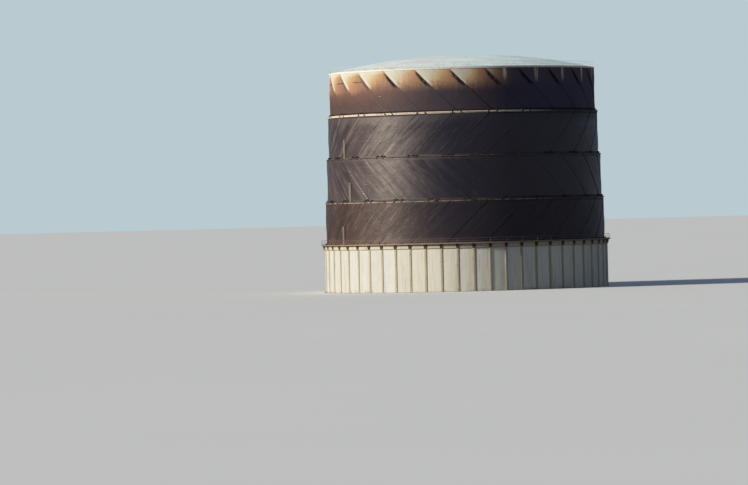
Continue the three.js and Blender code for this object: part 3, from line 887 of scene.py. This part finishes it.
def makeEndBrackets(radius, aside, base, ringEdge):
    # a cast bracket with a sunk panel and a boss on each side of a rail, strapped over the ring's edge
    values = {
        "half": 0.09, "topHalf": 0.06, "shoulder": 0.05, "high": 0.205, "near": 0.092, "far": 0.168,
        "rim": 0.018, "sunk": 0.014, "boss": 0.028, "bossLength": 0.022, "bossProud": 0.005,
        "bossHeight": 0.10, "strap": 0.075, "strapThick": 0.010, "hang": 0.14, "gap": 0.0004,
        "strapBack": 0.001, "strapOff": 0.0005, "strapLap": 0.0002, "bevel": 0.003, "bossBevel": 0.004,
        "strapBevel": 0.002,
    }
    near, far = radius + values["near"], radius + values["far"]
    half, topHalf = values["half"], values["topHalf"]
    low, shoulder, top = base + values["gap"], base + values["shoulder"], base + values["high"]
    outline = mirrored([(half, low), (half, shoulder), (topHalf, top)])
    casting = frontPlate("bracket", outline, near, far)
    bpy.ops.object.mode_set(mode="EDIT")
    pickFaces(casting, lambda centre, normal: normal.y < -0.9)
    bpy.ops.mesh.inset(thickness=values["rim"])
    push(0, values["sunk"], 0)
    closeUp(casting, smoothAngle=30)
    softenEdges(casting, values["bevel"])
    place = (0, values["bossLength"] / 2 - values["bossProud"] - far, base + values["bossHeight"])
    boss = rod(10, values["boss"], values["bossLength"], place, (math.pi / 2, 0, 0))
    softenEdges(boss, values["bossBevel"])
    parts = [casting, boss]
    if ringEdge:
        strap, outside = values["strap"], -ringEdge - values["strapThick"]
        bevel = values["strapBevel"]
        high = (strap, -far - values["strapBack"], base + values["strapThick"])
        parts.append(block("strapTop", (-strap, outside, low), high, bevel))
        high = (strap, -ringEdge - values["strapOff"], base + values["strapLap"])
        parts.append(block("strapDown", (-strap, outside, base - values["hang"]), high, bevel))
    turn = math.degrees(aside / near)
    return copyRound("brackets", joinAs("bracket", parts), [-turn, turn])


def makeRoller(radius, x, z):
    # a roller with a sunk back and an axle that runs out to the carriage's plate
    values = {"size": 0.030, "near": 0.012, "far": 0.062,
              "backRim": 0.012, "sunk": 0.006, "frontRim": 0.019, "axle": 0.06, "slack": 0.01}
    middle = radius + (values["near"] + values["far"]) / 2
    roller = rod(12, values["size"], values["far"] - values["near"], (x, -middle, z), (math.pi / 2, 0, 0))
    bpy.ops.object.mode_set(mode="EDIT")
    pickFaces(roller, lambda centre, normal: normal.y > 0.9)
    bpy.ops.mesh.inset(thickness=values["backRim"])
    push(0, -values["sunk"], 0)
    pickFaces(roller, lambda centre, normal: normal.y < -0.9 and centre.y < -middle - values["slack"])
    bpy.ops.mesh.inset(thickness=values["frontRim"])
    push(0, -values["axle"], 0)
    return closeUp(roller)


def makeCarriages(name, body, number, base, ringEdge=None):
    # four rollers that grip a spiral rail, on a plate that leans with it and stands on a ribbed foot
    values = {
        "half": 0.09, "topHalf": 0.072, "low": 0.016, "top": 0.225, "near": 0.095, "plate": 0.018,
        "ribAside": 0.06, "ribThick": 0.012, "ribReach": 0.165, "ribTop": 0.19, "ribEnd": 0.012,
        "ribSunk": 0.001, "footNear": 0.098, "footFar": 0.169, "footTop": 0.018, "footGap": 0.0004,
        "footEnds": 0.02, "footMost": 0.52, "fromRail": 0.037, "levels": (0.078, 0.165), "bevel": 0.004,
    }
    radius, lean, aside = lifts[number]["radius"], lifts[number]["lean"], lifts[number]["brackets"]
    half, topHalf, low, top = values["half"], values["topHalf"], values["low"], values["top"]
    near = radius + values["near"]
    far = near + values["plate"]
    outline = mirrored([(half, low), (topHalf, top)])
    parts = [frontPlate("backPlate", [(x - lean * z, base + z) for x, z in outline], near, far)]
    softenEdges(parts[0], values["bevel"])
    back, thick = far - values["ribSunk"], values["ribThick"]
    ribTop = values["ribTop"]
    rib = [(back, low), (radius + values["ribReach"], low), (far + values["ribEnd"], ribTop), (back, ribTop)]
    for x in (-values["ribAside"], values["ribAside"]):
        side = drawOutline("rib", [(x - lean * z - thick / 2, -r, base + z) for r, z in rib])
        push(thick, 0, 0)
        parts.append(closeUp(side))
    reach = min(aside + values["footEnds"], values["footMost"])
    corner = (-reach, -radius - values["footFar"], base + values["footGap"])
    opposite = (reach, -radius - values["footNear"], base + values["footTop"])
    parts.append(block("foot", corner, opposite, values["bevel"]))
    for level in values["levels"]:
        for across in (-values["fromRail"], values["fromRail"]):
            parts.append(makeRoller(radius, across - lean * level, base + level + lean * across))
    parts.append(makeEndBrackets(radius, aside, base, ringEdge))
    whole = joinAs("carriage", parts)
    first, count = railAngleAt(number, base), holder["railCount"]
    ring = copyRound(name, whole, [first + n * 360 / count for n in range(count)])
    finishPiece(ring, body, "bare_steel", finishes["carriage"])


def makeLiftShell(number):
    # plates in in-and-out strakes, five of which show, between what the wall stands on and what lies on it
    values = {"strakes": 5, "lap": 0.004, "lastStrake": 0.2, "gap": 0.0003}
    outer, inner = lifts[number]["radius"], lifts[number]["radius"] - holder["liftPlate"]
    low, high = wallSpan(number, values["gap"])
    start = surroundTop(number) + holder["firstSeam"]
    seams = [start + n * holder["strakePitch"] for n in range(values["strakes"] + 1)]
    heights = [low, *[seam for seam in seams if low < seam < high - values["lastStrake"]], high]
    section = [(inner, low)]
    for index, (bottom, top) in enumerate(zip(heights, heights[1:])):
        radius = outer - values["lap"] * (index % 2)
        section += [(radius, bottom), (radius, top)]
    section.append((inner, high))
    shell = turnedRing(f"lift_{number}_shell", section)
    nodes = quartersOf(f"lift_{number}_wall")
    finishPiece(shell, f"lift_{number}", "lift_paint", liftFinishes[number], *nodes)


def makeLiftRails(number):
    # bullhead rails on flat feet, turned round the lift at 45 degrees
    values = {
        "foot": 0.034, "web": 0.013, "head": 0.019, "crest": 0.0114, "sunk": 0.005, "cuts": 20,
        "footTop": 0.010, "webFoot": 0.014, "headLow": 0.019, "headFull": 0.024, "headTop": 0.034,
        "top": 0.040, "gap": 0.005,
    }
    lift = lifts[number]
    low, high = wallSpan(number, values["gap"])
    radius = lift["radius"] - values["sunk"]
    foot, web, head = values["foot"], values["web"], values["head"]
    half = [(foot, 0.0), (foot, values["footTop"]), (web, values["webFoot"]), (web, values["headLow"]),
            (head, values["headFull"]), (head, values["headTop"]), (values["crest"], values["top"])]
    plan = mirrored([(x, -radius - out) for x, out in half])
    length, count = high - low, holder["railCount"]
    bar = raisedPlan("bar", plan, [length * n / values["cuts"] for n in range(values["cuts"] + 1)])
    rails = copyRound(f"lift_{number}_rails", bar, [n * 360 / count for n in range(count)])
    turn = rails.modifiers.new("turn", "SIMPLE_DEFORM")
    turn.deform_method = "TWIST"
    turn.deform_axis = "Z"
    turn.angle = -lift["lean"] * length / lift["radius"]
    pickOnly(rails)
    bpy.ops.object.modifier_apply(modifier=turn.name)
    rails.location.z = low
    rails.rotation_euler.z = math.radians(railAngleAt(number, low))
    settle()
    finishPiece(rails, f"lift_{number}", "lift_paint", liftFinishes[number])


def makeRing(number):
    # the ring on a lift's top: deck, turned-down edge, and the plate that hangs in the inner lift's cup
    values = {"hangs": 0.0703, "plate": 0.0125, "round": 0.006, "beadLow": 0.022, "beadTop": 0.018,
              "setBack": 0.008, "shoulder": 0.004, "corner": 0.012}
    lift, inner = lifts[number], lifts[number - 1]
    plate = inner["radius"] + holder["gripInset"]
    edge = lift["radius"] + holder["ringOverhang"]
    top, hangsTo = lift["top"], inner["foot"] + values["hangs"]
    under = top - holder["ringDepth"]
    ring = turnedRing(f"lift_{number}_ring", [
        (plate, hangsTo),
        (plate + values["plate"], hangsTo),
        (plate + values["plate"], under),
        (edge - values["corner"], under),
        (edge, under + values["round"]),
        (edge, top - values["beadLow"]),
        (edge - values["setBack"], top - values["beadTop"]),
        (edge - values["setBack"], top - values["shoulder"]),
        (edge - values["corner"], top),
        (plate, top),
    ])
    finish = finishes["paleRing"] if number == 2 else finishes["wornRing"]
    finishPiece(ring, f"lift_{number}", "ring_paint", finish, f"lift_{number}_grip")
    makeCarriages(f"lift_{number}_carriages", f"lift_{number}", number - 1, top, edge)


def makeLadder(number, angle, body):
    # two stiles on feet, with rungs between, standing off a lift's wall
    values = {"height": 2.05, "half": 0.125, "stile": 0.03, "stileWide": 0.036, "rungs": 15, "rung": 0.011,
              "standOff": 0.16, "foot": 0.03, "footEnds": 0.012, "footTop": 0.010, "rungSunk": 0.005,
              "firstRung": 0.6, "gap": 0.0004, "bevel": 0.002}
    base, height, bevel = surroundTop(number) + values["gap"], values["height"], values["bevel"]
    near = lifts[number]["radius"] + values["standOff"]
    far = near + values["stile"]
    wide, foot, ends = values["stileWide"] / 2, values["foot"], values["footEnds"]
    parts = []
    for side in (-1, 1):
        x = side * (values["half"] - wide)
        parts.append(block("stile", (x - wide, -far, base), (x + wide, -near, base + height), bevel))
        high = (x + foot, -near + ends, base + values["footTop"])
        parts.append(block("ladderFoot", (x - foot, -far - ends, base), high, bevel))
    for n in range(values["rungs"]):
        place = (0, -(near + far) / 2, base + (n + values["firstRung"]) * height / values["rungs"])
        rung = rod(8, values["rung"], 2 * (values["half"] - values["rungSunk"]), place, (0, math.pi / 2, 0))
        softenEdges(rung, bevel)
        parts.append(rung)
    ladder = copyRound(f"lift_{number}_steps", joinAs("ladder", parts), [angle])
    finishPiece(ladder, body, "railing_paint", finishes["ladder"], f"lift_{number}_ladder")


def makeVentHood():
    # a small hooded vent on the wall of lift 1
    values = {"angle": -37.3, "height": 20.98, "half": 0.19, "tall": 0.11, "lip": 0.03, "underside": 0.044,
              "proud": 0.055, "sunk": 0.012, "bevel": 0.004}
    radius, base, half = lifts[1]["radius"], values["height"], values["half"]
    side = [(-values["sunk"], 0), (values["underside"], 0), (values["proud"], values["lip"]),
            (-values["sunk"], values["tall"])]
    hood = drawOutline("hood", [(-half, -radius - out, base + rise) for out, rise in side])
    push(2 * half, 0, 0)
    closeUp(hood, smoothAngle=30)
    softenEdges(hood, values["bevel"])
    vent = copyRound("lift_1_vent", hood, [values["angle"]])
    finishPiece(vent, "lift_1", "lift_paint", finishes["deck"])


def makeCrown():
    # a shallow dome of plates, part of a sphere
    values = {"rim": 14.49, "rise": 1.75, "plate": 0.03, "rings": 28, "steps": 288, "gap": 0.0003}
    rim, rise = values["rim"], values["rise"]
    sphere = (rim * rim + rise * rise) / (2 * rise)
    low = lifts[1]["top"] + values["gap"]

    def heightAt(away):
        return low + math.sqrt(sphere * sphere - away * away) - (sphere - rise)

    away = [rim * n / values["rings"] for n in range(values["rings"] + 1)]
    outside = [(r, heightAt(r) + values["plate"]) for r in away]
    inside = [(r, heightAt(r)) for r in reversed(away)]
    dome = turnedRing("crown_plating", [*outside, *inside], values["steps"])
    finishPiece(dome, "lift_1", "crown_paint", finishes["crown"], *quartersOf("crown"))


def makeCrownCurb():
    # the angle round the crown's foot, with a small bead at its top
    values = {"inner": 14.355, "beadLow": 0.045, "beadRound": 0.040, "setBack": 0.008, "corner": 0.004}
    top, inner, outer = lifts[1]["top"], values["inner"], holder["curbEdge"]
    web, low, corner = outer - values["setBack"], top - holder["crownCurb"], values["corner"]
    curb = turnedRing("crown_curb_angle", [
        (inner, low), (web, low), (web, top - values["beadLow"]), (outer, top - values["beadRound"]),
        (outer, top - corner), (outer - corner, top), (inner, top),
    ])
    finishPiece(curb, "lift_1", "crown_paint", finishes["curb"], "crown_curb")


makeTankShell()
makeTopStrake()
makeStanchions()
makeWalkway()
makeRailing("tank_railing", "tank", holder["walkwayEdge"], holder["walkwayTop"],
            postCount=holder["stanchionCount"], toeHeight=0.10, finish=finishes["brownRailing"])
makeWater()
makeCarriages("tank_carriages", "tank", 4, holder["walkwayTop"])
print("tank made")

for number in lifts:
    makeLiftShell(number)
    makeLiftRails(number)
    if number > 1:
        makeRing(number)
    print("lift", number, "made")
for number, angle, body in ((4, -58.7, "tank"), (3, -54.5, "lift_4"), (2, -59.7, "lift_3")):
    makeLadder(number, angle, body)
print("ladders made")

makeCrown()
makeCrownCurb()
makeVentHood()
makeRailing("crown_railing", "lift_1", holder["curbEdge"], lifts[1]["top"],
            postCount=120, toeHeight=0.045, finish=finishes["paleRailing"])
print("crown made")

for nodeName in ("tank_floor", "lift_4_curb", "lift_3_cup", "lift_2_cup", "lift_1_cup"):
    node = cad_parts[nodeName]
    node.data.materials.clear()
    node.data.materials.append(finishes["wetSteel"])
print("plain nodes painted")


def makeStage():
    # the floor looks pale, but throws little light back at the holder
    values = {"size": 6000, "roughness": 0.9,
              "shown": ((0.68, 0.69, 0.67), (0.72, 0.73, 0.71)), "thrown": (0.16, 0.165, 0.15)}
    clearPick()
    bpy.ops.mesh.primitive_plane_add(size=values["size"], location=(0, 0, 0))
    floor = bpy.context.object
    floor.name = "studio_floor"
    newFinish("studioFloor", Roughness=values["roughness"])
    seen = putNode("ShaderNodeLightPath", output="Is Camera Ray")
    colour = mixed(seen, values["thrown"], mixed(cloud(0.02, 2.0), *values["shown"]))
    spot.tree.links.new(colour.socket, spot.shader.inputs["Base Color"])
    floor.data.materials.append(spot.finish)


def makeLight():
    # a low warm sun from the left, and a sky that shows brighter than it lights
    values = {"azimuth": -71, "height": 21, "strength": 5.3, "softness": 9, "warm": (1.0, 0.94, 0.83),
              "skyShown": (0.485, 0.597, 0.631, 1), "skyBlue": (0.55, 0.70, 1.0, 1), "skyLight": 0.24}
    azimuth, height = math.radians(values["azimuth"]), math.radians(values["height"])
    level = math.cos(height)
    aim = Vector((math.sin(azimuth) * level, -math.cos(azimuth) * level, math.sin(height)))
    bpy.ops.object.light_add(type="SUN", location=aim * 100)
    key = bpy.context.object
    key.name = "soft_key"
    key.rotation_euler = aim.to_track_quat("Z", "Y").to_euler()
    key.data.energy = values["strength"]
    key.data.angle = math.radians(values["softness"])
    key.data.color = values["warm"]
    world = bpy.data.worlds.new("studio")
    bpy.context.scene.world = world
    world.use_nodes = True
    spot.tree = world.node_tree
    backdrop = spot.tree.nodes["Background"]
    backdrop.inputs[0].default_value = values["skyShown"]
    backdrop.inputs[1].default_value = 1.0
    fill = putNode("ShaderNodeBackground", {0: values["skyBlue"], 1: values["skyLight"]})
    seen = putNode("ShaderNodeLightPath", output="Is Camera Ray")
    both = putNode("ShaderNodeMixShader", {0: seen, 1: fill, 2: Signal(backdrop.outputs[0])})
    spot.tree.links.new(both.socket, spot.tree.nodes["World Output"].inputs[0])


def makeCamera():
    # the photograph's place and angle, for a frame of 748 by 485
    values = {"distance": 480.0, "eye": 8.46, "lensPixels": 4369.6, "framePixels": 748, "sensor": 36,
              "yaw": -0.02097, "pitch": -0.00647, "roll": 0.0255, "farthest": 6000}
    yaw, pitch, roll = values["yaw"], values["pitch"], values["roll"]
    forward = Vector((math.sin(yaw) * math.cos(pitch), math.cos(yaw) * math.cos(pitch), math.sin(pitch)))
    right = Vector((math.cos(yaw), -math.sin(yaw), 0))
    up = right.cross(forward)
    turnedRight = right * math.cos(roll) - up * math.sin(roll)
    turnedUp = right * math.sin(roll) + up * math.cos(roll)
    bpy.ops.object.camera_add(location=(0, -values["distance"], values["eye"]))
    camera = bpy.context.object
    camera.rotation_euler = Matrix((turnedRight, turnedUp, -forward)).transposed().to_euler()
    camera.data.sensor_width = values["sensor"]
    camera.data.lens = values["lensPixels"] / values["framePixels"] * values["sensor"]
    camera.data.clip_end = values["farthest"]
    bpy.context.scene.camera = camera
    bpy.context.scene.view_settings.view_transform = "Standard"


makeStage()
clearPick()
makeLight()
clearPick()
makeCamera()
print("stage, light and camera set")
